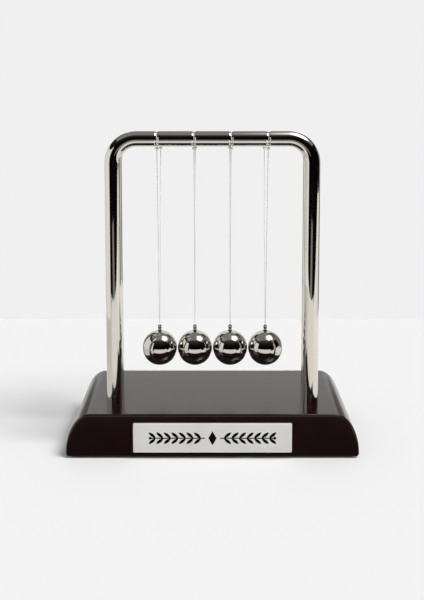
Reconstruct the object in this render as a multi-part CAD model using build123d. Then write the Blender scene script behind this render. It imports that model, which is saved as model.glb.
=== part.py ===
"""Newton's cradle: a lacquered block base, two bent tube arches and four steel balls on V strings.

Millimetres, +Z up.  The origin is the centre of the face that rests on the table.
X runs along the row of balls and Y from the front, with the name plate, to the back.
"""
import os
from math import atan2, cos, degrees, hypot, radians, sin

from build123d import *

# --- base -----------------------------------------------------------------
BASE_LENGTH = 180.0
BASE_DEPTH = 84.0
TOP_Z = 27.5              # top of the base above the table
PAD_THICKNESS = 1.3
PAD_INSET = 2.0
PAD_CORNER = 3.0
END_RUN = 15.0            # how far the quarter-ellipse ends come in at the top
BOTTOM_CUT = 1.2          # small 45 degree cut under each end
EDGE_RADIUS = 1.2         # soft long edges of the lacquered block

# --- arches ---------------------------------------------------------------
TUBE_DIAMETER = 9.8
TUBE_WALL = 1.0
BEND_RADIUS = 15.0        # at the tube's centreline
ARCH_OFFSET = 20.0        # each arch stands this far in front of or behind the ball row
SOCKET_DEPTH = 12.2
FRONT_HALF_WIDTH = 62.0   # centreline of a leg from the middle
FRONT_BAR_Z = 194.8       # centreline of the top bar
REAR_HALF_WIDTH = 65.3    # the rear arch is wider and lower, bent from the same length of tube
REAR_BAR_Z = 192.8

# --- fixings under each leg -------------------------------------------------
SCREW_DIAMETER = 4.0
CLEARANCE_DIAMETER = 4.4
COUNTERBORE_DIAMETER = 11.0
COUNTERBORE_DEPTH = 7.0
WASHER_DIAMETER = 10.0
WASHER_THICKNESS = 1.0
HEAD_DIAMETER = 7.6
HEAD_HEIGHT = 2.6
HEX_ACROSS_FLATS = 2.5
HEX_DEPTH = 1.4
SCREW_REACH = 8.5         # thread that enters the insert
INSERT_LENGTH = 12.0

# --- balls and their strings -------------------------------------------------
BALL_COUNT = 4
BALL_DIAMETER = 22.6
BALL_PITCH = 23.0
BALL_Z = 56.8
GROOVE_WIDTH = 2.6
GROOVE_DEPTH = 0.5
STRING_DIAMETER = 0.4
LOOP_DIAMETER = 0.5
BEAD_DIAMETER = 2.4       # crimp bead that closes each loop under the bar
BEAD_GAP = 0.04           # daylight between a bead and its loop, and between it and its string
STUD_DIAMETER = 2.2
STUD_RISE = 4.0           # above the top of the ball
STUD_SHANK = 5.0          # into the ball
COLLAR_DIAMETER = 3.4
COLLAR_HEIGHT = 0.6
EYE_DIAMETER = 0.9
EYE_RISE = 2.7            # eye of the stud above the top of the ball

# --- plate --------------------------------------------------------------------
PLATE_WIDTH = 97.0
PLATE_HEIGHT = 18.3
PLATE_THICKNESS = 1.0
PLATE_Z = 13.2
PLATE_CORNER = 0.8
PLATE_BEVEL = 0.3
TAPE_THICKNESS = 0.3
TAPE_MARGIN = 1.5
INLAY_DEPTH = 0.3

TUBE_RADIUS = TUBE_DIAMETER / 2
BALL_RADIUS = BALL_DIAMETER / 2
FRONT_FACE_Y = -BASE_DEPTH / 2
SOCKET_Z = TOP_Z - SOCKET_DEPTH
WASHER_TOP = PAD_THICKNESS + COUNTERBORE_DEPTH
HEAD_TOP = WASHER_TOP - WASHER_THICKNESS
EYE_Z = BALL_Z + BALL_RADIUS + EYE_RISE
LOOP_RING_RADIUS = TUBE_RADIUS - GROOVE_DEPTH + LOOP_DIAMETER / 2
BEAD_DROP = LOOP_RING_RADIUS + LOOP_DIAMETER / 2 + BEAD_GAP + BEAD_DIAMETER / 2

BALL_XS = [(i - (BALL_COUNT - 1) / 2) * BALL_PITCH for i in range(BALL_COUNT)]
ARCHES = {
    "front": (-ARCH_OFFSET, FRONT_HALF_WIDTH, FRONT_BAR_Z),
    "rear": (ARCH_OFFSET, REAR_HALF_WIDTH, REAR_BAR_Z),
}
FEET = [(side * half, y) for y, half, _ in ARCHES.values() for side in (-1, 1)]


def upright(radius, bottom, top, x=0.0, y=0.0):
    """A vertical cylinder between two heights."""
    shape = Cylinder(radius, top - bottom, align=(Align.CENTER, Align.CENTER, Align.MIN))
    return Pos(x, y, bottom) * shape


# --- base ---------------------------------------------------------------------
def base_block():
    """Lacquered block with quarter-ellipse ends, four tube sockets and four screw counterbores."""
    half = BASE_LENGTH / 2
    foot = half - BOTTOM_CUT
    shoulder_z = PAD_THICKNESS + BOTTOM_CUT
    rise = TOP_Z - shoulder_z
    flat = half - END_RUN
    right = EllipticalCenterArc((flat, shoulder_z), END_RUN, rise, start_angle=0, arc_size=90)
    left = EllipticalCenterArc((-flat, shoulder_z), END_RUN, rise, start_angle=90, arc_size=90)
    lower = Polyline((-half, shoulder_z), (-foot, PAD_THICKNESS), (foot, PAD_THICKNESS), (half, shoulder_z))
    top = Line((flat, TOP_Z), (-flat, TOP_Z))
    profile = Plane.XZ * make_face([lower, right, top, left])
    block = extrude(profile, BASE_DEPTH / 2, both=True)
    long_edges = block.edges().filter_by(
        lambda e: abs(abs(e.center().Y) - BASE_DEPTH / 2) < 0.01 and e.center().Z > shoulder_z + 1
    )
    block = fillet(long_edges, EDGE_RADIUS)
    for x, y in FEET:
        block -= upright(TUBE_RADIUS, SOCKET_Z, TOP_Z + 1, x, y)
        block -= upright(CLEARANCE_DIAMETER / 2, PAD_THICKNESS, SOCKET_Z + 1, x, y)
        block -= upright(COUNTERBORE_DIAMETER / 2, PAD_THICKNESS - 1, WASHER_TOP, x, y)
    return block


def base_pad():
    """Thin foam sheet that covers the screws and keeps the lacquer off the table."""
    outline = RectangleRounded(BASE_LENGTH - 2 * PAD_INSET, BASE_DEPTH - 2 * PAD_INSET, PAD_CORNER)
    return extrude(outline, PAD_THICKNESS)


# --- arches --------------------------------------------------------------------
def arch(y, half_width, bar_z):
    """One tube bent twice, open at both ends, with a string groove above each ball."""
    path = FilletPolyline(
        (-half_width, y, SOCKET_Z),
        (-half_width, y, bar_z),
        (half_width, y, bar_z),
        (half_width, y, SOCKET_Z),
        radius=BEND_RADIUS,
    )
    start = Pos(-half_width, y, SOCKET_Z)
    tube = sweep(start * Circle(TUBE_RADIUS), path=path)
    tube -= sweep(start * Circle(TUBE_RADIUS - TUBE_WALL), path=path)
    half = GROOVE_WIDTH / 2
    groove_radius = (half**2 + GROOVE_DEPTH**2) / (2 * GROOVE_DEPTH)
    ring = Rot(0, 90, 0) * Rot(0, 0, 90) * Torus(TUBE_RADIUS - GROOVE_DEPTH + groove_radius, groove_radius)
    for x in BALL_XS:
        tube -= Pos(x, y, bar_z) * ring
    return tube


def tube_insert(x, y):
    """Threaded plug pressed into the end of a leg."""
    plug = upright(TUBE_RADIUS - TUBE_WALL, SOCKET_Z, SOCKET_Z + INSERT_LENGTH, x, y)
    return plug - upright(SCREW_DIAMETER / 2, SOCKET_Z - 1, SOCKET_Z + INSERT_LENGTH + 1, x, y)


def foot_washer(x, y):
    ring = upright(WASHER_DIAMETER / 2, HEAD_TOP, WASHER_TOP, x, y)
    return ring - upright(CLEARANCE_DIAMETER / 2, HEAD_TOP - 1, WASHER_TOP + 1, x, y)


def foot_screw(x, y):
    """Button-head screw with a hex socket, driven from below."""
    head = upright(HEAD_DIAMETER / 2, HEAD_TOP - HEAD_HEIGHT, HEAD_TOP, x, y)
    head = fillet(head.edges().group_by(Axis.Z)[0], HEAD_HEIGHT * 0.4)
    socket = extrude(RegularPolygon(HEX_ACROSS_FLATS / 2, 6, major_radius=False), HEX_DEPTH)
    head -= Pos(x, y, HEAD_TOP - HEAD_HEIGHT) * socket
    return head + upright(SCREW_DIAMETER / 2, HEAD_TOP, SOCKET_Z + SCREW_REACH, x, y)


# --- one ball and what carries it -------------------------------------------------
def stud(x):
    """Blackened eyelet stud: shank in the ball, collar on it, barrel with a cross hole."""
    top = BALL_Z + BALL_RADIUS
    shape = upright(STUD_DIAMETER / 2, top - STUD_SHANK, top + STUD_RISE, x)
    shape = fillet(shape.edges().group_by(Axis.Z)[-1], STUD_DIAMETER * 0.2)
    shape += upright(COLLAR_DIAMETER / 2, top, top + COLLAR_HEIGHT, x)
    eye = Rot(90, 0, 0) * Cylinder(EYE_DIAMETER / 2, COLLAR_DIAMETER)
    return shape - Pos(x, 0, EYE_Z) * eye


def ball(x):
    """Solid steel ball with a blind hole and a small spot face for its stud."""
    top = BALL_Z + BALL_RADIUS
    shape = Pos(x, 0, BALL_Z) * Sphere(BALL_RADIUS)
    shape -= upright(STUD_DIAMETER / 2, top - STUD_SHANK, top + 1, x)
    return shape - upright(COLLAR_DIAMETER / 2 + 0.1, top, top + 1, x)


def bead_point(name, x):
    y, _, bar_z = ARCHES[name]
    return Vector(x, y, bar_z - BEAD_DROP)


def string(x):
    """One length of nylon from the front bead, through the eye of the stud, to the rear bead."""
    eye_half = STUD_DIAMETER / 2 + STRING_DIAMETER
    front_eye = Vector(x, -eye_half, EYE_Z)
    rear_eye = Vector(x, eye_half, EYE_Z)
    front_bead = bead_point("front", x)
    rear_bead = bead_point("rear", x)
    clear = BEAD_DIAMETER / 2 + BEAD_GAP
    front_top = front_bead + (front_eye - front_bead).normalized() * clear
    rear_top = rear_bead + (rear_eye - rear_bead).normalized() * clear
    path = FilletPolyline(front_top, front_eye, rear_eye, rear_top, radius=STRING_DIAMETER)
    section = Plane(origin=front_top, z_dir=front_eye - front_bead) * Circle(STRING_DIAMETER / 2)
    return sweep(section, path=path)


def loop(name, x):
    """The turn of nylon that lies in a groove of the bar."""
    y, _, bar_z = ARCHES[name]
    return Pos(x, y, bar_z) * Rot(0, 90, 0) * Torus(LOOP_RING_RADIUS, LOOP_DIAMETER / 2)


def bead(name, x):
    """Crimp bead under the bar. The string turns about its centre."""
    return Pos(*bead_point(name, x)) * Sphere(BEAD_DIAMETER / 2)


# --- plate ----------------------------------------------------------------------
LOZENGE_WIDTH = 5.0
LOZENGE_HEIGHT = 9.0
STEM_START = 4.6
STEM_END = 38.0
STEM_THICKNESS = 0.7
LEAF_COUNT = 7
LEAF_LENGTH = 5.6
LEAF_WIDTH = 1.9
LEAF_ANGLE = 38.0
LEAF_FIRST = 7.0
LEAF_STEP = 4.6
BERRY_RADIUS = 0.9


def leaf():
    """A pointed leaf along +X from the origin, where two equal circles overlap."""
    half = LEAF_LENGTH / 2
    radius = (half**2 + (LEAF_WIDTH / 2) ** 2) / LEAF_WIDTH
    offset = radius - LEAF_WIDTH / 2
    return (Pos(half, offset) * Circle(radius)) & (Pos(half, -offset) * Circle(radius))


def ornament():
    """Plain leaf sprigs either side of a lozenge, centred on the origin."""
    lozenge = make_face(
        Polyline(
            (-LOZENGE_WIDTH / 2, 0),
            (0, LOZENGE_HEIGHT / 2),
            (LOZENGE_WIDTH / 2, 0),
            (0, -LOZENGE_HEIGHT / 2),
            close=True,
        )
    )
    length = STEM_END - STEM_START
    sprig = Pos(STEM_START + length / 2, 0) * Rectangle(length, STEM_THICKNESS)
    for i in range(LEAF_COUNT):
        x = LEAF_FIRST + i * LEAF_STEP
        for side in (-1, 1):
            sprig += Pos(x, side * STEM_THICKNESS / 4) * Rot(0, 0, side * LEAF_ANGLE) * leaf()
    sprig += Pos(STEM_END, 0) * Circle(BERRY_RADIUS)
    return Sketch() + lozenge + sprig + mirror(sprig, about=Plane.YZ)


def plate_solid(y_back, width, height, thickness, corner):
    """A rounded sheet that stands on the plane y = y_back and grows towards the front."""
    place = Plane(origin=(0, y_back, PLATE_Z), x_dir=(1, 0, 0), z_dir=(0, -1, 0))
    return extrude(place * RectangleRounded(width, height, corner), thickness)


def plate_inlay():
    """Black enamel that fills the engraved ornament flush with the plate."""
    front_y = FRONT_FACE_Y - TAPE_THICKNESS - PLATE_THICKNESS
    place = Plane(origin=(0, front_y, PLATE_Z), x_dir=(1, 0, 0), z_dir=(0, -1, 0))
    return extrude(place * ornament(), -INLAY_DEPTH)


def name_plate(inlay):
    """Satin silver plate with bevelled edges, engraved for the inlay."""
    back = FRONT_FACE_Y - TAPE_THICKNESS
    plate = plate_solid(back, PLATE_WIDTH, PLATE_HEIGHT, PLATE_THICKNESS, PLATE_CORNER)
    plate = chamfer(plate.faces().sort_by(Axis.Y)[0].edges(), PLATE_BEVEL)
    return plate - inlay


def plate_tape():
    return plate_solid(
        FRONT_FACE_Y,
        PLATE_WIDTH - 2 * TAPE_MARGIN,
        PLATE_HEIGHT - 2 * TAPE_MARGIN,
        TAPE_THICKNESS,
        PLATE_CORNER,
    )


def group(make):
    """The same fixing at all four feet, kept as separate solids of one node."""
    return Compound(children=[make(x, y).solid() for x, y in FEET])


def build():
    inlay = plate_inlay()
    nodes = {
        "base_block": base_block(),
        "base_pad": base_pad(),
        "tube_inserts": group(tube_insert),
        "foot_washers": group(foot_washer),
        "foot_screws": group(foot_screw),
        "name_plate": name_plate(inlay),
        "plate_tape": plate_tape(),
        "plate_inlay": inlay,
    }
    for name, (y, half_width, bar_z) in ARCHES.items():
        nodes[f"{name}_arch"] = arch(y, half_width, bar_z)
    for number, x in enumerate(BALL_XS, start=1):
        nodes[f"ball_{number}"] = ball(x)
        nodes[f"stud_{number}"] = stud(x)
        nodes[f"string_{number}"] = string(x)
        for name in ARCHES:
            nodes[f"{name}_loop_{number}"] = loop(name, x)
            nodes[f"{name}_bead_{number}"] = bead(name, x)
    return nodes


def report_sizes():
    """Print the lengths that the report quotes."""
    for name, (_, half_width, bar_z) in ARCHES.items():
        straight = 2 * (bar_z - SOCKET_Z) + 2 * half_width - 4 * BEND_RADIUS
        print(f"{name} arch: tube length {straight + 3.14159 * BEND_RADIUS:.1f} mm")
    front, rear = bead_point("front", 0), bead_point("rear", 0)
    run = rear - front
    print(f"hinge axis leans {degrees(atan2(run.Z, run.Y)):.2f} degrees")
    print(f"string, bead to eye: front {hypot(front.Y, front.Z - EYE_Z):.1f} mm,",
          f"rear {hypot(rear.Y, rear.Z - EYE_Z):.1f} mm")


os.makedirs("parts", exist_ok=True)
for node, shape in build().items():
    shape.label = node
    export_step(shape, f"parts/{node}.step")
report_sizes()
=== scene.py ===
# %% [markdown]
# # A desk cradle of four steel balls
#
# The object is a toy for a desk: four polished balls hang in a row from two bent, chrome-plated tubes that
# stand in a dark lacquered block. The CAD model already has every piece at its real size and place. This
# script gives the pieces their looks: finer meshes where a mirror finish would show every facet, and a
# material for each surface, made from nodes.
#
# Everything is in metres, with +X along the row of balls and +Y from the front to the back.

import math

import bpy
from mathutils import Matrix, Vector


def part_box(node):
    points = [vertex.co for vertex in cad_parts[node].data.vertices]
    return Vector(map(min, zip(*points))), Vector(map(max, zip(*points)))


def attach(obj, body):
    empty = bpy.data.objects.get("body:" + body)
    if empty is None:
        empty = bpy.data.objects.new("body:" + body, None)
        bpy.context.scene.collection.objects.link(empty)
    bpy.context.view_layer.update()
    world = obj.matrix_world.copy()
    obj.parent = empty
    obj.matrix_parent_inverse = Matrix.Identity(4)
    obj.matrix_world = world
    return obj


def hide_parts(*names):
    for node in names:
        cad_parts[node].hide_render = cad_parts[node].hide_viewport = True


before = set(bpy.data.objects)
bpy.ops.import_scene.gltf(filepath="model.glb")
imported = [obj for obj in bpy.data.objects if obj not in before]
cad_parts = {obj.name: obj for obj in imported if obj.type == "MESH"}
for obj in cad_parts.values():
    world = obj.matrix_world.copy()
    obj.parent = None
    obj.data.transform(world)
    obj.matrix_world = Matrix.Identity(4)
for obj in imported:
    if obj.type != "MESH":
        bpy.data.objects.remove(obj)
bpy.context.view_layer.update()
MM = 0.001
print("pieces in the frame:", len(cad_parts))

# %% [markdown]
# ## Sizes read from the frame
#
# A piece made here has to fit the pieces that the CAD model keeps, so its place is read from the boxes of
# the CAD nodes and is never typed in twice. A tube's radius is half of its arch's depth, and the centre of
# its bar lies one radius below the top of the arch.

# %% Read the sizes of the arches and balls
BALL_COUNT = 4
SIDES = ("front", "rear")
BLOCK_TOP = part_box("base_block")[1].z
BLOCK_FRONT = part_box("base_block")[0].y


def arch_sizes(side):
    """Where an arch stands, how wide its centreline is, how high its bar is and how thick its tube is."""
    low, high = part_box(f"{side}_arch")
    radius = (high.y - low.y) / 2
    return {
        "y": (low.y + high.y) / 2,
        "half_width": high.x - radius,
        "bar_z": high.z - radius,
        "foot_z": low.z,
        "radius": radius,
    }


def ball_x(number):
    """Where a ball hangs along the row."""
    low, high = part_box(f"ball_{number}")
    return (low.x + high.x) / 2


ARCHES = {side: arch_sizes(side) for side in SIDES}
BALL_XS = [ball_x(number) for number in range(1, BALL_COUNT + 1)]
ball_low, ball_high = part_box("ball_1")
BALL_RADIUS = (ball_high.x - ball_low.x) / 2
BALL_Z = ball_low.z + BALL_RADIUS
print(f"tube {2 * ARCHES['front']['radius'] / MM:.1f} mm, ball {2 * BALL_RADIUS / MM:.1f} mm")

# %% [markdown]
# ## Colour and nodes
#
# Colours are written as the hex values that a paint program shows. Blender's shaders want linear light, so
# one function turns one into the other. A second small function adds a node, sets it up and links it, which
# keeps each material short enough to read as a recipe. The Mix node has several sockets with the same name,
# so its colour sockets are chosen by number.

# %% Helpers for colours and nodes
MIX_FIRST, MIX_SECOND, MIX_RESULT = 6, 7, 2


def colour(code):
    """Linear RGBA from an sRGB hex code such as "#C4C1BA"."""
    parts = [int(code[i:i + 2], 16) / 255 for i in (1, 3, 5)]
    linear = [p / 12.92 if p <= 0.04045 else ((p + 0.055) / 1.055) ** 2.4 for p in parts]
    return (*linear, 1.0)


def add(tree, kind, inputs=None, **settings):
    """Add one node. Each input is a value, or another node's output to link."""
    node = tree.nodes.new(kind)
    for name, value in settings.items():
        setattr(node, name, value)
    for name, value in (inputs or {}).items():
        if isinstance(value, bpy.types.NodeSocket):
            tree.links.new(value, node.inputs[name])
        else:
            node.inputs[name].default_value = value
    return node


def new_material(name):
    """An empty material and its node tree."""
    material = bpy.data.materials.new(name)
    material.use_nodes = True
    material.node_tree.nodes.clear()
    return material, material.node_tree


print("chrome in linear light:", [round(part, 3) for part in colour("#DEDBD4")])

# %% [markdown]
# ## Finishes with an even mottle
#
# Many finishes come from a process with no direction: plating, lapping, blackening, pouring or foaming. What
# the eye gets from them is a slow, slight change of tone and gloss, and on the rougher ones a fine relief.
# One noise pattern can drive all three, because on the real surface they have the same cause. The size of
# the pattern is given in millimetres, and a texture's scale is one over that size.

# %% A finish from one noise pattern
def mottled_finish(name, tones, metallic, gloss, grain, depth=0.0):
    """tones and gloss are the two ends of the mottle. grain and depth are in millimetres."""
    material, tree = new_material(name)
    place = add(tree, "ShaderNodeTexCoord").outputs["Object"]
    mottle = add(tree, "ShaderNodeTexNoise", {
        "Vector": place, "Scale": 1 / (grain * MM), "Detail": 5.0, "Roughness": 0.6,
    }).outputs["Fac"]
    tone = add(tree, "ShaderNodeMix", {
        "Factor": mottle, MIX_FIRST: colour(tones[0]), MIX_SECOND: colour(tones[1]),
    }, data_type="RGBA").outputs[MIX_RESULT]
    blur = add(tree, "ShaderNodeMapRange", {
        "Value": mottle, "From Min": 0.3, "From Max": 0.7, "To Min": gloss[0], "To Max": gloss[1],
    }).outputs["Result"]
    shader = add(tree, "ShaderNodeBsdfPrincipled", {
        "Base Color": tone, "Metallic": metallic, "Roughness": blur,
    })
    if depth:
        relief = add(tree, "ShaderNodeBump", {"Height": mottle, "Distance": depth * MM})
        tree.links.new(relief.outputs["Normal"], shader.inputs["Normal"])
    add(tree, "ShaderNodeOutputMaterial", {"Surface": shader.outputs["BSDF"]})
    return material


for grain in (0.5, 3, 16):
    print(f"a mottle of {grain} mm has texture scale {1 / (grain * MM):.1f}")

# %% [markdown]
# ## Chrome plate and bearing steel
#
# The arches are steel tube, bent, polished and plated with nickel and chrome. Such plating is a mirror with
# a faint warm tint. Buffing and fingers leave a haze too fine to see as lines, so it only blurs the mirror
# image, in patches about 16 mm across.
#
# The balls are of the kind made for bearings: chrome steel, ground and then lapped until they are round to
# a thousandth of a millimetre. Bare steel reflects less than chrome plate does, so its mirror image is
# darker, and its mottle is finer, about 3 mm.

# %% Chrome plate and lapped steel
CHROME = mottled_finish("chrome_plate", ("#DEDBD4", "#D3D0C9"), 1.0, (0.03, 0.08), grain=16)
STEEL = mottled_finish("lapped_steel", ("#D4D1CB", "#CAC7C0"), 1.0, (0.02, 0.05), grain=3)
print("mirror finishes:", CHROME.name, STEEL.name)

# %% [markdown]
# ## Blackened steel and zinc
#
# The eyelet studs are steel, blackened in hot salts, which leaves a dark, oily sheen in patches of under a
# millimetre. The screws and washers under the block are zinc plated, a bluish grey whose crystals are one to
# two millimetres across and stand up a hundredth of a millimetre.

# %% Blackened steel and zinc plate
BLACKENED = mottled_finish("blackened_steel", ("#3A3835", "#5C5954"), 1.0, (0.11, 0.18), grain=0.8)
ZINC = mottled_finish("zinc_plate", ("#A9AEB2", "#C6CACC"), 1.0, (0.24, 0.39), grain=1.6, depth=0.01)
print("small steel parts:", BLACKENED.name, ZINC.name)

# %% [markdown]
# ## Enamel, foam and tape
#
# The ornament in the plate is filled with black enamel, which dries smooth, with a ripple of about 3 mm. The
# pad under the block is closed-cell black foam, and the tape behind the plate is white foam. Their cells are
# about 0.5 mm across, and cut cells make them quite rough.

# %% Enamel and the two foams
ENAMEL = mottled_finish("black_enamel", ("#060606", "#0E0D0D"), 0.0, (0.19, 0.25), grain=3, depth=0.004)
FOAM = mottled_finish("black_foam", ("#0A0A0A", "#161616"), 0.0, (0.8, 0.9), grain=0.5, depth=0.08)
TAPE = mottled_finish("white_foam_tape", ("#D8D6D0", "#E6E4DF"), 0.0, (0.65, 0.75), grain=0.5, depth=0.04)
print("not metal:", ENAMEL.name, FOAM.name, TAPE.name)

# %% [markdown]
# ## Turned brass
#
# The inserts in the ends of the tubes are brass, turned on a lathe. The tool leaves fine rings round the
# piece, one for each turn of the work, here 0.25 mm apart. A wave pattern along the upright axis draws
# them, a little distorted, because a real feed is never quite even.

# %% Turned brass
RING_SPACING = 0.25 * MM

BRASS, tree = new_material("turned_brass")
place = add(tree, "ShaderNodeTexCoord").outputs["Object"]
rings = add(tree, "ShaderNodeTexWave", {
    "Vector": place, "Scale": math.tau / (20 * RING_SPACING), "Distortion": 0.4,
}, bands_direction="Z").outputs["Fac"]
tone = add(tree, "ShaderNodeMix", {
    "Factor": rings, MIX_FIRST: colour("#B08D45"), MIX_SECOND: colour("#D9B768"),
}, data_type="RGBA").outputs[MIX_RESULT]
relief = add(tree, "ShaderNodeBump", {"Height": rings, "Distance": 0.02 * MM}).outputs["Normal"]
shader = add(tree, "ShaderNodeBsdfPrincipled", {
    "Base Color": tone, "Metallic": 1.0, "Roughness": 0.28, "Normal": relief,
})
add(tree, "ShaderNodeOutputMaterial", {"Surface": shader.outputs["BSDF"]})
print("rings to a millimetre:", round(MM / RING_SPACING))

# %% [markdown]
# ## Maroon lacquer
#
# The block is fibreboard, sprayed with a maroon-brown lacquer that is nearly black until light falls on it.
# The top coat is clear and rubbed down to a satin gloss: at a low angle it mirrors the white wall behind, as
# a soft glow, and from in front it shows only its own colour. Spraying leaves a ripple called orange peel,
# with waves of about 2 mm. The stain lies a shade darker in long streaks, about 2 mm wide and twenty times
# as long, because the board was sealed with a brush.

# %% Lacquered board
STREAK_WIDTH = 2 * MM
STREAK_STRETCH = (0.05, 1, 1)
PEEL_WAVE = 2 * MM
RUB_PATCH = 20 * MM

LACQUER, tree = new_material("maroon_lacquer")
place = add(tree, "ShaderNodeTexCoord").outputs["Object"]
along = add(tree, "ShaderNodeMapping", {"Vector": place, "Scale": STREAK_STRETCH}).outputs["Vector"]
streaks = add(tree, "ShaderNodeTexNoise", {
    "Vector": along, "Scale": 1 / STREAK_WIDTH, "Detail": 4.0, "Roughness": 0.6,
}).outputs["Fac"]
peel = add(tree, "ShaderNodeTexNoise", {
    "Vector": place, "Scale": 1 / PEEL_WAVE, "Detail": 1.0,
}).outputs["Fac"]
rubbed = add(tree, "ShaderNodeTexNoise", {
    "Vector": place, "Scale": 1 / RUB_PATCH, "Detail": 3.0,
}).outputs["Fac"]
tone = add(tree, "ShaderNodeMix", {
    "Factor": streaks, MIX_FIRST: colour("#170607"), MIX_SECOND: colour("#220C0D"),
}, data_type="RGBA").outputs[MIX_RESULT]
blur = add(tree, "ShaderNodeMapRange", {
    "Value": rubbed, "From Min": 0.3, "From Max": 0.7, "To Min": 0.15, "To Max": 0.21,
}).outputs["Result"]
relief = add(tree, "ShaderNodeBump", {"Height": peel, "Distance": 0.004 * MM}).outputs["Normal"]
shader = add(tree, "ShaderNodeBsdfPrincipled", {
    "Base Color": tone, "Roughness": blur, "IOR": 1.52, "Normal": relief,
})
add(tree, "ShaderNodeOutputMaterial", {"Surface": shader.outputs["BSDF"]})
print("lacquer:", len(tree.nodes), "nodes")

# %% [markdown]
# ## Silver lacquer
#
# The plate is aluminium and the small beads on the strings are brass, and both are sprayed with a silver
# lacquer. Such a lacquer is clear resin full of tiny metal flakes that lie at all angles. That makes it
# partly a metal and partly a pale paint, and it stays bright where a bare metal would mirror the dark in
# front of it. The flakes are smaller than 0.1 mm, which can't show, so they are drawn at 0.25 mm, and
# shallow.

# %% Silver lacquer
FLAKE = 0.25 * MM
CLOUD = 25 * MM

SILVER, tree = new_material("silver_lacquer")
place = add(tree, "ShaderNodeTexCoord").outputs["Object"]
flakes = add(tree, "ShaderNodeTexNoise", {
    "Vector": place, "Scale": 1 / FLAKE, "Detail": 2.0,
}).outputs["Fac"]
cloud = add(tree, "ShaderNodeTexNoise", {
    "Vector": place, "Scale": 1 / CLOUD, "Detail": 3.0,
}).outputs["Fac"]
tone = add(tree, "ShaderNodeMix", {
    "Factor": cloud, MIX_FIRST: colour("#F0EEE9"), MIX_SECOND: colour("#F6F4F0"),
}, data_type="RGBA").outputs[MIX_RESULT]
metal = add(tree, "ShaderNodeMapRange", {
    "Value": flakes, "From Min": 0.3, "From Max": 0.7, "To Min": 0.1, "To Max": 0.3,
}).outputs["Result"]
blur = add(tree, "ShaderNodeMapRange", {
    "Value": cloud, "From Min": 0.3, "From Max": 0.7, "To Min": 0.36, "To Max": 0.44,
}).outputs["Result"]
relief = add(tree, "ShaderNodeBump", {"Height": flakes, "Distance": 0.004 * MM}).outputs["Normal"]
shader = add(tree, "ShaderNodeBsdfPrincipled", {
    "Base Color": tone, "Metallic": metal, "Roughness": blur, "Normal": relief,
})
add(tree, "ShaderNodeOutputMaterial", {"Surface": shader.outputs["BSDF"]})
print("silver lacquer:", len(tree.nodes), "nodes")

# %% [markdown]
# ## Nylon
#
# The strings are nylon monofilament, like fishing line, drawn through a die. It is milky clear: some light
# goes straight through and some is scattered inside, so against a pale wall it is only a faint grey line.
# Transmission gives the first, and the white base colour gives the second. Drawing leaves ripples about
# 0.7 mm across that are ten times as long as they are wide.

# %% Milky nylon
DRAWN_RIPPLE = 0.7 * MM
RIPPLE_STRETCH = (1, 1, 0.1)

NYLON, tree = new_material("nylon_monofilament")
place = add(tree, "ShaderNodeTexCoord").outputs["Object"]
along = add(tree, "ShaderNodeMapping", {"Vector": place, "Scale": RIPPLE_STRETCH}).outputs["Vector"]
ripple = add(tree, "ShaderNodeTexNoise", {
    "Vector": along, "Scale": 1 / DRAWN_RIPPLE, "Detail": 2.0,
}).outputs["Fac"]
tone = add(tree, "ShaderNodeMix", {
    "Factor": ripple, MIX_FIRST: colour("#F4F4F2"), MIX_SECOND: colour("#FFFFFF"),
}, data_type="RGBA").outputs[MIX_RESULT]
relief = add(tree, "ShaderNodeBump", {"Height": ripple, "Distance": 0.002 * MM}).outputs["Normal"]
shader = add(tree, "ShaderNodeBsdfPrincipled", {
    "Base Color": tone, "Roughness": 0.12, "IOR": 1.53, "Transmission Weight": 0.3, "Normal": relief,
})
add(tree, "ShaderNodeOutputMaterial", {"Surface": shader.outputs["BSDF"]})
print("materials so far:", len(bpy.data.materials))

# %% [markdown]
# ## From points to an object
#
# Everything from here on is made of points and faces. Smooth shading hides the joints between small faces,
# but it also rounds real corners away, so edges sharper than a set angle are marked and stay crisp.

# %% Make a mesh object
CREASE = 40


def mesh_object(name, points, faces, material):
    """A smooth-shaded object from points, in metres, and faces."""
    mesh = bpy.data.meshes.new(name)
    mesh.from_pydata([tuple(point) for point in points], [], faces)
    mesh.materials.append(material)
    mesh.shade_smooth()
    piece = bpy.data.objects.new(name, mesh)
    bpy.context.scene.collection.objects.link(piece)
    return piece


def sharpen(piece, degrees=CREASE):
    """Keep creases crisp while the rest is shaded smooth."""
    piece.data.set_sharp_from_angle(angle=math.radians(degrees))
    return piece


print("edges are kept sharp from", CREASE, "degrees")

# %% [markdown]
# ## Turned pieces
#
# A ball, a stud and a bead are turned: a half outline is spun round an upright axis, as on a lathe. The Spin
# tool or a Screw modifier would do it too. A short loop over points is used here, because it gives even, fine
# faces and closes the mesh at both ends, and a mirror finish shows every uneven face.

# %% Turn an outline
LATHE_STEPS = 96


def turned(name, outline, centre, material, steps=LATHE_STEPS):
    """Spin (radius, height) points, which start and end on the axis, round an upright axis."""
    points = [centre + Vector((0, 0, outline[0][1]))]
    for radius, height in outline[1:-1]:
        for step in range(steps):
            angle = math.tau * step / steps
            points.append(centre + Vector((radius * math.cos(angle), radius * math.sin(angle), height)))
    points.append(centre + Vector((0, 0, outline[-1][1])))
    rows = len(outline) - 2
    last = len(points) - 1
    faces = []
    for step in range(steps):
        after = (step + 1) % steps
        faces.append((0, 1 + after, 1 + step))
        for row in range(rows - 1):
            low = 1 + row * steps
            faces.append((low + step, low + after, low + steps + after, low + steps + step))
        top = 1 + (rows - 1) * steps
        faces.append((top + step, top + after, last))
    return mesh_object(name, points, faces, material)


print("each step of the lathe turns", 360 / LATHE_STEPS, "degrees")

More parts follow.
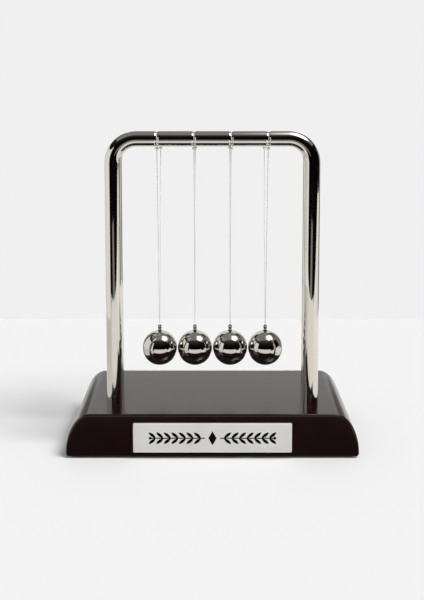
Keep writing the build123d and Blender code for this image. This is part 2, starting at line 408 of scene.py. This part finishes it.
# %% [markdown]
# ## Drawn pieces
#
# A tube and a string are drawn: a circle is carried along a path. A curve with a round bevel would also do
# it, but the arches need a bore, and grooves where the radius changes, so the circle's radius is given at
# each point. The circle must not twist as it goes round a bend, so its side direction is carried on from
# point to point and turned as little as possible.

# %% Carry a direction along a path
def frames_along(path):
    """A side and an up direction at each point of a path."""
    forwards = []
    for i in range(len(path)):
        before = path[max(i - 1, 0)]
        after = path[min(i + 1, len(path) - 1)]
        forwards.append((after - before).normalized())
    side = forwards[0].orthogonal().normalized()
    frames = []
    for forward in forwards:
        side = (side - side.dot(forward) * forward).normalized()
        frames.append((side, forward.cross(side)))
    return frames


corner = [Vector((0, 0, 0)), Vector((1, 0, 0)), Vector((1, 1, 0))]
for side, up in frames_along(corner):
    print("side", [round(part, 2) for part in side], "up", [round(part, 2) for part in up])

# %% [markdown]
# With a side and an up direction at every point, a ring of points is easy to place, and two neighbouring
# rings are joined by a band of faces. A solid piece gets a cap at each end. A hollow one gets a second skin
# inside, facing inwards, and a flat rim at each end.

# %% Draw a circle along a path
WIRE_SIDES = 24


def drawn(name, path, radii, material, steps=WIRE_SIDES, bore=None):
    """radii has one value for each point of the path, and bore makes it a hollow tube."""
    skins = [radii] if bore is None else [radii, [bore] * len(path)]
    points = []
    for skin in skins:
        for point, radius, (side, up) in zip(path, skin, frames_along(path)):
            for step in range(steps):
                angle = math.tau * step / steps
                points.append(point + radius * (math.cos(angle) * side + math.sin(angle) * up))
    skin_size = len(path) * steps
    faces = []
    for layer in range(len(skins)):
        for ring in range(len(path) - 1):
            base = layer * skin_size + ring * steps
            for step in range(steps):
                after = (step + 1) % steps
                face = (base + step, base + after, base + steps + after, base + steps + step)
                faces.append(face if layer == 0 else face[::-1])
    first, last = 0, skin_size - steps
    if bore is None:
        faces.append(tuple(range(first, first + steps))[::-1])
        faces.append(tuple(range(last, last + steps)))
        return mesh_object(name, points, faces, material)
    for end, flip in ((first, True), (last, False)):
        for step in range(steps):
            after = (step + 1) % steps
            face = (end + step, end + after, skin_size + end + after, skin_size + end + step)
            faces.append(face[::-1] if flip else face)
    return mesh_object(name, points, faces, material)


print("sides of a drawn piece, where nothing else is said:", WIRE_SIDES)

# %% [markdown]
# ## The arches
#
# Each arch is one length of tube, bent twice. The path has only the points that the bends and the string
# grooves need: a straight run needs none in between, and a bend is a quarter circle of small steps. Each
# groove is a shallow arc rolled into the bar. It is written as a change of radius along the path, so the
# tube and its grooves are one clean skin, with no Boolean cut and no seam.

# %% The shape of a groove and of an arch
TUBE_WALL = 1.0 * MM
BEND_RADIUS = 15.0 * MM
BEND_STEPS = 24
GROOVE_HALF = 1.3 * MM
GROOVE_DEPTH = 0.5 * MM
GROOVE_STEPS = 10
GROOVE_LIP = 0.25 * MM
GROOVE_ARC = (GROOVE_HALF**2 + GROOVE_DEPTH**2) / (2 * GROOVE_DEPTH)


def groove_depth(offset):
    """How deep the groove is at a distance along the bar from its middle."""
    if abs(offset) >= GROOVE_HALF:
        return 0.0
    return math.sqrt(GROOVE_ARC**2 - offset**2) - (GROOVE_ARC - GROOVE_DEPTH)


def arch_path(sizes):
    """Points from the left foot to the right foot, with the tube's radius at each."""
    y, half, top, radius = sizes["y"], sizes["half_width"], sizes["bar_z"], sizes["radius"]
    left = [(Vector((-half, y, sizes["foot_z"])), radius), (Vector((-half, y, BLOCK_TOP)), radius)]
    for step in range(BEND_STEPS + 1):
        angle = math.pi / 2 * step / BEND_STEPS
        x = -half + BEND_RADIUS * (1 - math.cos(angle))
        z = top - BEND_RADIUS * (1 - math.sin(angle))
        left.append((Vector((x, y, z)), radius))
    bar = []
    for x in BALL_XS:
        bar.append((Vector((x - GROOVE_HALF - GROOVE_LIP, y, top)), radius))
        for step in range(GROOVE_STEPS + 1):
            offset = GROOVE_HALF * (2 * step / GROOVE_STEPS - 1)
            bar.append((Vector((x + offset, y, top)), radius - groove_depth(offset)))
        bar.append((Vector((x + GROOVE_HALF + GROOVE_LIP, y, top)), radius))
    right = [(Vector((-point.x, point.y, point.z)), size) for point, size in reversed(left)]
    return left + bar + right


print(f"groove: {2 * GROOVE_HALF / MM:.1f} mm wide, cut to a radius of {GROOVE_ARC / MM:.2f} mm")

# %% [markdown]
# The tube has 96 sides. Its reflections are long straight streaks, and with fewer sides they would show as
# steps round the bends. Its ends are open, as they are on the bench, with the brass inserts inside them.

# %% Draw the two arches
TUBE_SIDES = 96
TUBE_CREASE = 25

for side in SIDES:
    stations = arch_path(ARCHES[side])
    path = [point for point, _ in stations]
    radii = [radius for _, radius in stations]
    bore = ARCHES[side]["radius"] - TUBE_WALL
    tube = drawn(f"{side}_chrome_arch", path, radii, CHROME, steps=TUBE_SIDES, bore=bore)
    arch = sharpen(tube, TUBE_CREASE)
    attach(arch, "stand")
    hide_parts(f"{side}_arch")
    length = sum((b - a).length for a, b in zip(path, path[1:]))
    print(f"{side} arch: {len(path)} rings, {length / MM:.1f} mm of tube")

# %% [markdown]
# ## The balls
#
# A ball is turned from a half circle. At its crown is the small flat spot, and the blind hole that the stud
# is pressed into, so the outline runs from the bottom of the ball up to the spot, across it and down the
# hole. Fine steps matter more here than anywhere else, since the whole room is seen in this surface.

# %% Turn the balls
BALL_ROWS = 90
BALL_STEPS = 128
SHANK_RADIUS = 1.1 * MM
SPOT_RADIUS = 1.8 * MM
HOLE_DEPTH = 5.0 * MM


def ball_outline():
    """Half outline of a ball, from its lowest point to the bottom of the stud's hole."""
    spot_angle = math.asin(SPOT_RADIUS / BALL_RADIUS)
    points = []
    for row in range(BALL_ROWS + 1):
        angle = (math.pi - spot_angle) * row / BALL_ROWS
        points.append((BALL_RADIUS * math.sin(angle), -BALL_RADIUS * math.cos(angle)))
    spot = points[-1][1]
    return points + [(SHANK_RADIUS, spot), (SHANK_RADIUS, spot - HOLE_DEPTH), (0, spot - HOLE_DEPTH)]


for number, x in enumerate(BALL_XS, start=1):
    centre = Vector((x, 0, BALL_Z))
    ball = sharpen(turned(f"steel_ball_{number}", ball_outline(), centre, STEEL, steps=BALL_STEPS))
    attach(ball, f"pendulum_{number}")
    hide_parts(f"ball_{number}")
    print(f"ball {number}: {len(ball.data.polygons)} faces")

# %% [markdown]
# ## The eyelet studs
#
# Each ball hangs from a small stud, which is turned too: a shank in the ball, a rounded collar on the spot, a
# narrow waist and a barrel with a domed top. The eye is drilled across the barrel and countersunk, so that
# its edge doesn't cut the string. A Boolean modifier cuts it, and its result is then kept as the piece's
# mesh. The waist is turned last, through the blackened skin, so it is bright.

# %% The shape of a stud
COLLAR_RADIUS = 1.35 * MM
COLLAR_HEIGHT = 0.6 * MM
COLLAR_SINK = 0.15 * MM
BARREL_RADIUS = 1.1 * MM
WAIST_RADIUS = 0.95 * MM
WAIST_TOP = 0.9 * MM
BARREL_FOOT = 1.4 * MM
EYE_RADIUS = 0.45 * MM
EYE_RISE = 2.7 * MM
DOME_RISE = 0.77 * MM
DOME_STEPS = 8
CREST = BALL_Z + BALL_RADIUS
BARREL_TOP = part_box("stud_1")[1].z - CREST


def stud_outline():
    """Half outline of a stud, with heights above the crest of the ball."""
    shank_end = COLLAR_SINK / 2 - HOLE_DEPTH
    points = [(0, shank_end), (SHANK_RADIUS, shank_end), (SHANK_RADIUS, -COLLAR_SINK)]
    points.append((COLLAR_RADIUS, -COLLAR_SINK))
    for step in range(DOME_STEPS + 1):
        angle = math.pi / 2 * step / DOME_STEPS
        radius = WAIST_RADIUS + (COLLAR_RADIUS - WAIST_RADIUS) * math.cos(angle)
        points.append((radius, COLLAR_HEIGHT * math.sin(angle)))
    points += [(WAIST_RADIUS, WAIST_TOP), (BARREL_RADIUS, BARREL_FOOT)]
    for step in range(DOME_STEPS):
        angle = math.pi / 2 * step / DOME_STEPS
        height = BARREL_TOP - DOME_RISE * (1 - math.sin(angle))
        points.append((BARREL_RADIUS * math.cos(angle), height))
    return points + [(0, BARREL_TOP)]


print(f"studs stand {BARREL_TOP / MM:.2f} mm above the balls")

# %% [markdown]
# The drill is itself a drawn piece: a narrow rod that widens at both ends, where it makes the countersinks.
# The bright waist is chosen by height, once the eye has been cut.

# %% Turn the studs and drill their eyes
STUD_STEPS = 64
DRILL_SIDES = 32
DRILL_PLACES = (-1.25, -0.6, 0.6, 1.25)
DRILL_WIDTHS = (1.7, 1, 1, 1.7)
WAIST_FOOT = 0.9 * COLLAR_HEIGHT
UPRIGHT = 0.8


def drill(piece, centre):
    """Cut the countersunk eye from front to rear. Places and widths are shares of barrel and eye."""
    path = [centre + Vector((0, share * BARREL_RADIUS, 0)) for share in DRILL_PLACES]
    radii = [EYE_RADIUS * share for share in DRILL_WIDTHS]
    cutter = drawn("drill", path, radii, BLACKENED, steps=DRILL_SIDES)
    cut = piece.modifiers.new("eye", "BOOLEAN")
    cut.operation = "DIFFERENCE"
    cut.solver = "EXACT"
    cut.object = cutter
    graph = bpy.context.evaluated_depsgraph_get()
    mesh = bpy.data.meshes.new_from_object(piece.evaluated_get(graph))
    piece.modifiers.clear()
    piece.data = mesh
    bpy.data.objects.remove(cutter)
    return piece


def brighten_waist(piece):
    """Give the faces between the collar and the barrel the bare steel."""
    piece.data.materials.append(STEEL)
    for face in piece.data.polygons:
        rise = face.center.z - CREST
        if WAIST_FOOT < rise < BARREL_FOOT and abs(face.normal.z) < UPRIGHT:
            face.material_index = 1
    return piece


for number, x in enumerate(BALL_XS, start=1):
    foot = Vector((x, 0, CREST))
    stud = turned(f"eyelet_{number}", stud_outline(), foot, BLACKENED, steps=STUD_STEPS)
    drill(stud, foot + Vector((0, 0, EYE_RISE)))
    sharpen(brighten_waist(stud))
    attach(stud, f"pendulum_{number}")
    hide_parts(f"stud_{number}")
    print(f"stud {number}: {len(stud.data.polygons)} faces")

# %% [markdown]
# ## The strings
#
# One string carries each ball: from the front bar down, through the eye, and up to the rear bar. That V is
# what keeps the balls in one line. The weight pulls it dead straight, so its path is two straight runs with
# a small bend at each side of the eye. A physics simulation would only find the same two lines.

# %% Draw the strings
STRING_RADIUS = 0.2 * MM
STRING_SIDES = 16
EYE_BEND = 2 * STRING_RADIUS
EYE_BEND_STEPS = 6
BEAD_GAP = 0.04 * MM


def bead_place(side, number):
    """The centre and the radius of the bead under a bar."""
    low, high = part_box(f"{side}_bead_{number}")
    return (low + high) / 2, (high.z - low.z) / 2


def half_string(x, side, number):
    """From a bead down to the eye, ending inside it, just past its bent edge."""
    way = -1 if side == "front" else 1
    bead, radius = bead_place(side, number)
    corner = Vector((x, way * (BARREL_RADIUS + EYE_BEND), CREST + EYE_RISE))
    up = (bead - corner).normalized()
    half = [bead - up * (radius + BEAD_GAP)]
    start = corner + up * EYE_BEND
    end = corner + Vector((0, -way * EYE_BEND, 0))
    for step in range(EYE_BEND_STEPS + 1):
        t = step / EYE_BEND_STEPS
        half.append((1 - t) ** 2 * start + 2 * t * (1 - t) * corner + t**2 * end)
    return half


for number, x in enumerate(BALL_XS, start=1):
    path = half_string(x, "front", number) + half_string(x, "rear", number)[::-1]
    radii = [STRING_RADIUS] * len(path)
    string = drawn(f"nylon_string_{number}", path, radii, NYLON, steps=STRING_SIDES)
    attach(string, f"pendulum_{number}")
    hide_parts(f"string_{number}")
    length = sum((b - a).length for a, b in zip(path, path[1:]))
    print(f"string {number}: {length / MM:.1f} mm")

# %% [markdown]
# ## Turns round the bar
#
# At the top the string goes once round the bar, in its groove. The path is one turn of a helix: it starts
# and ends at the bottom, and moves along the bar by the string's own width, so that its two ends lie side by
# side where the bead grips them. It rests on the groove's curved floor, which is lowest in the middle.

# %% Wind the turns
TURN_WIDTH = 0.45 * MM
TURN_STEPS = 48
TURN_SIDES = 12


def turn_path(sizes, x):
    """One turn round the bar, on the floor of the groove at x."""
    path = []
    for step in range(TURN_STEPS + 1):
        share = step / TURN_STEPS
        angle = -math.pi / 2 + math.tau * share
        offset = TURN_WIDTH * (share - 0.5)
        radius = sizes["radius"] - groove_depth(offset) + STRING_RADIUS
        y = sizes["y"] + radius * math.cos(angle)
        z = sizes["bar_z"] + radius * math.sin(angle)
        path.append(Vector((x + offset, y, z)))
    return path


for number, x in enumerate(BALL_XS, start=1):
    for side in SIDES:
        path = turn_path(ARCHES[side], x)
        radii = [STRING_RADIUS] * len(path)
        turn = drawn(f"{side}_turn_{number}", path, radii, NYLON, steps=TURN_SIDES)
        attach(turn, "stand")
        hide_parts(f"{side}_loop_{number}")
length = sum((b - a).length for a, b in zip(path, path[1:]))
print(f"{2 * BALL_COUNT} turns, each of {length / MM:.1f} mm of string")

# %% [markdown]
# ## Crimp beads
#
# A soft metal bead is squeezed on to hold each turn, as on a fishing line. It is a turned ball whose points
# are then moved: those near its middle plane are drawn in, which leaves the slit where the pliers closed it.
# An end ball can swing out with its neighbour, or further on its own. So its two beads are a small carrier,
# which follows the neighbour, and the ball hangs from that. The other beads ride with their own balls.

# %% Press the beads
BEAD_ROWS = 32
BEAD_STEPS = 48
SLIT_WIDTH = 0.13
SLIT_DEPTH = 0.16


def crimp_bead(name, centre, radius):
    """A round bead with a slit, whose width and depth are shares of the bead's radius."""
    outline = []
    for row in range(BEAD_ROWS + 1):
        angle = math.pi * row / BEAD_ROWS
        outline.append((radius * math.sin(angle), -radius * math.cos(angle)))
    bead = turned(name, outline, centre, SILVER, steps=BEAD_STEPS)
    for vertex in bead.data.vertices:
        offset = vertex.co - centre
        pinch = math.exp(-((offset.x / (SLIT_WIDTH * radius)) ** 2))
        vertex.co = centre + offset * (1 - SLIT_DEPTH * pinch)
    return bead


for number in range(1, BALL_COUNT + 1):
    carrier = f"beads_{number}" if number in (1, BALL_COUNT) else f"pendulum_{number}"
    for side in SIDES:
        centre, radius = bead_place(side, number)
        bead = crimp_bead(f"{side}_crimp_{number}", centre, radius)
        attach(bead, carrier)
        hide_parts(f"{side}_bead_{number}")
    print(f"beads {number}: {2 * radius / MM:.1f} mm, on {carrier}")

# %% [markdown]
# ## Finishes for the pieces that keep their CAD shape
#
# The block, the plate and the fixings already have the right shape, down to the small radius on the block's
# long edges and the bevel round the plate. They only need their finishes.

# %% Give the CAD pieces their finishes
FINISHES = {
    "base_block": LACQUER,
    "base_pad": FOAM,
    "tube_inserts": BRASS,
    "foot_washers": ZINC,
    "foot_screws": ZINC,
    "name_plate": SILVER,
    "plate_tape": TAPE,
    "plate_inlay": ENAMEL,
}
for node, material in FINISHES.items():
    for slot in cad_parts[node].material_slots:
        slot.material = material
    print(f"{node}: {material.name}")

# %% [markdown]
# ## The floor
#
# Mirror metal shows nothing but its room, so the room is built twice. The camera sees a plain pale floor that
# ends in a pale backdrop. The metal sees what a product studio puts round such an object. A stage piece can
# be hidden from some kinds of ray and not from others, and that is how the two rooms share one scene.

# %% Build the floor that the camera sees
FLOOR_BACK = 0.28
FLOOR_REACH = 1.6


def sheet(name, corners, material):
    """A flat stage piece."""
    piece = mesh_object(name, [Vector(corner) for corner in corners], [range(len(corners))], material)
    return piece


def show_to(piece, camera, reflections):
    """Choose which rays meet a stage piece. None of them casts a shadow."""
    piece.visible_camera = camera
    piece.visible_diffuse = camera
    piece.visible_transmission = camera
    piece.visible_glossy = reflections
    piece.visible_shadow = False


PAPER, tree = new_material("floor_paper")
shader = add(tree, "ShaderNodeBsdfDiffuse", {"Color": colour("#F3F3F3")})
add(tree, "ShaderNodeOutputMaterial", {"Surface": shader.outputs["BSDF"]})

floor = sheet("floor", [
    (-FLOOR_REACH, -FLOOR_REACH, 0), (FLOOR_REACH, -FLOOR_REACH, 0),
    (FLOOR_REACH, FLOOR_BACK, 0), (-FLOOR_REACH, FLOOR_BACK, 0),
], PAPER)
show_to(floor, camera=True, reflections=False)
print(f"floor: ends {FLOOR_BACK} m behind the object")

# %% [markdown]
# ## Cards that glow
#
# In a real studio, cards are lit by lamps. Here each card has its own light instead, because then its tone
# is known, and it is the same in every reflection. The white table is brighter towards the lamp, on the
# right, so its strength follows the distance across it.

# %% Make the card materials
TABLE_SPAN = 0.30


def glowing(name, code, strength=1.0):
    """The material of a card with its own light."""
    material, card_tree = new_material(name)
    lit = add(card_tree, "ShaderNodeEmission", {"Color": colour(code), "Strength": strength})
    add(card_tree, "ShaderNodeOutputMaterial", {"Surface": lit.outputs["Emission"]})
    return material


TABLE, tree = new_material("white_table")
place = add(tree, "ShaderNodeTexCoord").outputs["Object"]
across = add(tree, "ShaderNodeSeparateXYZ", {"Vector": place}).outputs["X"]
strength = add(tree, "ShaderNodeMapRange", {
    "Value": across, "From Min": -TABLE_SPAN, "From Max": TABLE_SPAN, "To Min": 0.72, "To Max": 1.15,
}).outputs["Result"]
shader = add(tree, "ShaderNodeEmission", {"Color": colour("#F6F4F0"), "Strength": strength})
add(tree, "ShaderNodeOutputMaterial", {"Surface": shader.outputs["Emission"]})
print(f"the table's strength changes over {2 * TABLE_SPAN} m")

# %% [markdown]
# ## White table and painted floor shade
#
# In the metal's room the white table ends 0.34 m in front of the object, with a grey runner down the middle.
# Beyond it the room is dark, and that dark is the black band down each leg. A low white board in front fills
# the middle of the balls with light. Between it and the block a dark sheet lies flat on the table, seen only
# in
# reflections: it is painted shade on the table, and it keeps the block's front face deep and dark.

# %% Lay out the table
FRONT_EDGE = 0.34
RUNNER_END = 0.95
RUNNER_FAR = 0.18
RUNNER_NEAR = 0.08
BOARD_HALF = 0.14
BOARD_PLACE = 0.16
BOARD_TOP = 0.061
FLOOR_SHADE_HALF = 0.12
FLOOR_SHADE_EDGE = 0.13

LAYOUT = {
    "table": ([
        (-FLOOR_REACH, -FRONT_EDGE, 0), (FLOOR_REACH, -FRONT_EDGE, 0),
        (FLOOR_REACH, FLOOR_REACH, 0), (-FLOOR_REACH, FLOOR_REACH, 0),
    ], TABLE),
    "runner": ([
        (-RUNNER_FAR, -RUNNER_END, 0), (RUNNER_FAR, -RUNNER_END, 0),
        (RUNNER_NEAR, -FRONT_EDGE, 0), (-RUNNER_NEAR, -FRONT_EDGE, 0),
    ], glowing("grey_runner", "#8A8782")),
    "front_board": ([
        (-BOARD_HALF, -BOARD_PLACE, 0), (BOARD_HALF, -BOARD_PLACE, 0),
        (BOARD_HALF, -BOARD_PLACE, BOARD_TOP), (-BOARD_HALF, -BOARD_PLACE, BOARD_TOP),
    ], glowing("front_board", "#F2F0EC", 1.05)),
    # painted shade: a dark glowing sheet on the table, seen only in reflections, darkens the block's front
    # face
    "painted_floor_shade": ([
        (-FLOOR_SHADE_HALF, -FLOOR_SHADE_EDGE, MM), (FLOOR_SHADE_HALF, -FLOOR_SHADE_EDGE, MM),
        (FLOOR_SHADE_HALF, BLOCK_FRONT - MM, MM), (-FLOOR_SHADE_HALF, BLOCK_FRONT - MM, MM),
    ], glowing("painted_floor_shade", "#1A1615")),
}
for name, (corners, material) in LAYOUT.items():
    show_to(sheet(name, corners, material), camera=False, reflections=True)
    print("laid out:", name)

# %% [markdown]
# ## Curved cards
#
# Tall cards stand in a ring round the object. The one at the back is the wall that the top of the block and
# the rim of each ball reflect. The tall one on the left and the low one on the right are the white shapes in
# the sides of the balls. Two grey ones fill the rear corners.

# %% Stand the cards round the object
CARD_RADIUS = 0.38
CARD_STEPS = 16


def arc_card(name, start, end, height, material):
    """An upright curved card between two bearings, in degrees from straight ahead towards the right."""
    points, faces = [], []
    for step in range(CARD_STEPS + 1):
        angle = math.radians(start + (end - start) * step / CARD_STEPS)
        x, y = CARD_RADIUS * math.sin(angle), -CARD_RADIUS * math.cos(angle)
        points += [Vector((x, y, 0)), Vector((x, y, height))]
        if step:
            base = 2 * step
            faces.append((base - 2, base, base + 1, base - 1))
    card = mesh_object(name, points, faces, material)
    show_to(card, camera=False, reflections=True)


CARDS = (
    ("back_card", 150, 210, 0.52, "#F0F0EE", 1.0),
    ("left_card", 230, 312, 0.31, "#F4F4F2", 1.05),
    ("right_card", 62, 105, 0.065, "#F0F0EE", 1.1),
    ("rear_left_card", 210, 230, 0.30, "#8F8D89", 1.0),
    ("rear_right_card", 105, 150, 0.30, "#8F8D89", 1.0),
)
for name, start, end, height, code, strength in CARDS:
    arc_card(name, start, end, height, glowing(name, code, strength))
    print(f"{name}: {end - start} degrees, {height / MM:.0f} mm high")

# %% [markdown]
# ## The overhead cloth
#
# A grey cloth is stretched over the set, and a lamp shines through it on the right. In the balls it is the
# bright patch near the top, and along the bar it is the grey that brightens to the right. The patch fades
# from its middle, which a Gradient texture gives: it is one at its centre and nought at a set radius.

# %% Hang the cloth
CEILING = 0.60
CLOTH_LEFT, CLOTH_RIGHT = -0.50, 0.75
CLOTH_FRONT, CLOTH_BACK = -0.28, 0.36
HOT_SPOT = Vector((0.29, -0.06, CEILING))
HOT_RADIUS = 0.30

CLOTH, tree = new_material("overhead_cloth")
place = add(tree, "ShaderNodeTexCoord").outputs["Object"]
centred = add(tree, "ShaderNodeMapping", {
    "Vector": place, "Location": -HOT_SPOT / HOT_RADIUS, "Scale": [1 / HOT_RADIUS] * 3,
}).outputs["Vector"]
spot = add(tree, "ShaderNodeTexGradient", {"Vector": centred}, gradient_type="QUADRATIC_SPHERE")
whiteness = add(tree, "ShaderNodeMapRange", {
    "Value": spot.outputs["Fac"], "From Min": 0.0, "From Max": 0.2,
}).outputs["Result"]
tone = add(tree, "ShaderNodeMix", {
    "Factor": whiteness, MIX_FIRST: colour("#8C8986"), MIX_SECOND: colour("#FFFFFF"),
}, data_type="RGBA").outputs[MIX_RESULT]
strength = add(tree, "ShaderNodeMapRange", {
    "Value": spot.outputs["Fac"], "From Min": 0.0, "From Max": 0.5, "To Min": 1.0, "To Max": 6.0,
}).outputs["Result"]
shader = add(tree, "ShaderNodeEmission", {"Color": tone, "Strength": strength})
add(tree, "ShaderNodeOutputMaterial", {"Surface": shader.outputs["Emission"]})

cloth = sheet("overhead_cloth", [
    (CLOTH_LEFT, CLOTH_FRONT, CEILING), (CLOTH_RIGHT, CLOTH_FRONT, CEILING),
    (CLOTH_RIGHT, CLOTH_BACK, CEILING), (CLOTH_LEFT, CLOTH_BACK, CEILING),
], CLOTH)
show_to(cloth, camera=False, reflections=True)
print("cloth hangs at", CEILING, "m")

# %% [markdown]
# ## The key light
#
# One broad lamp, high on the right and a little in front, draws the soft shadow on the left. A sun lamp with
# a wide angle does this: its shadow is sharp where the block touches the floor and fades with distance.

# %% Set the key light
TOWARDS_LAMP = Vector((0.34, -0.16, 0.60))

sun = bpy.data.lights.new("key", "SUN")
sun.energy = 2.35
sun.angle = math.radians(26)
key = bpy.data.objects.new("key", sun)
key.rotation_mode = "QUATERNION"
key.rotation_quaternion = TOWARDS_LAMP.to_track_quat("Z", "Y")
key.visible_glossy = False
bpy.context.scene.collection.objects.link(key)
print("key light:", sun.energy, "W/m2")

# %% [markdown]
# ## The room's own light
#
# The world is what a ray finds when it meets nothing else. For the camera, and through the clear string, it
# is the pale backdrop. For matt surfaces it is a soft white light. For mirrors it is a dark room that gets a
# little lighter overhead, which gives the metal its depth. The Light Path node tells these rays apart.

# %% Build the world
world = bpy.data.worlds.new("room")
world.use_nodes = True
tree = world.node_tree
tree.nodes.clear()
rays = add(tree, "ShaderNodeLightPath").outputs
direction = add(tree, "ShaderNodeTexCoord").outputs["Generated"]
height = add(tree, "ShaderNodeSeparateXYZ", {"Vector": direction}).outputs["Z"]
ramp = add(tree, "ShaderNodeValToRGB", {"Fac": height})
TONES = {0.30: "#090807", 0.58: "#211F1B", 0.84: "#47433A", 1.0: "#5E594E"}
while len(ramp.color_ramp.elements) < len(TONES):
    ramp.color_ramp.elements.new(0.5)
for element, (level, code) in zip(ramp.color_ramp.elements, TONES.items()):
    element.position = level
    element.color = colour(code)

backdrop = add(tree, "ShaderNodeBackground", {"Color": colour("#F0F0F0")})
soft = add(tree, "ShaderNodeBackground", {"Color": colour("#FFFFFF"), "Strength": 0.38})
dark = add(tree, "ShaderNodeBackground", {"Color": ramp.outputs["Color"]})
seen = add(tree, "ShaderNodeMath", {0: rays["Is Camera Ray"], 1: rays["Is Transmission Ray"]},
           operation="MAXIMUM").outputs["Value"]
lit = add(tree, "ShaderNodeMixShader", {
    0: rays["Is Glossy Ray"], 1: soft.outputs["Background"], 2: dark.outputs["Background"],
})
final = add(tree, "ShaderNodeMixShader", {
    0: seen, 1: lit.outputs["Shader"], 2: backdrop.outputs["Background"],
})
add(tree, "ShaderNodeOutputWorld", {"Surface": final.outputs["Shader"]})
bpy.context.scene.world = world
bpy.context.scene.view_settings.view_transform = "Standard"
print("world:", len(tree.nodes), "nodes")

# %% [markdown]
# ## The camera
#
# The camera stands a little above the arch and looks slightly down. Tilting it further would make the legs
# lean, so most of the downward view comes from shifting the lens, as on a view camera. A near clip of 10 mm
# keeps small pieces in sight when the camera is moved close.

# %% Set the camera
TILT = 5

lens = bpy.data.cameras.new("camera")
lens.sensor_width = 36.0
lens.lens = 51.117
lens.shift_x = -0.0008
lens.shift_y = -0.2215
lens.clip_start = 0.01
camera = bpy.data.objects.new("camera", lens)
camera.location = (0, -0.54668, 0.22329)
camera.rotation_euler = (math.radians(90 - TILT), 0, 0)
bpy.context.scene.collection.objects.link(camera)
bpy.context.scene.camera = camera
print(f"camera: {lens.lens:.0f} mm lens, {-camera.location.y:.2f} m in front")
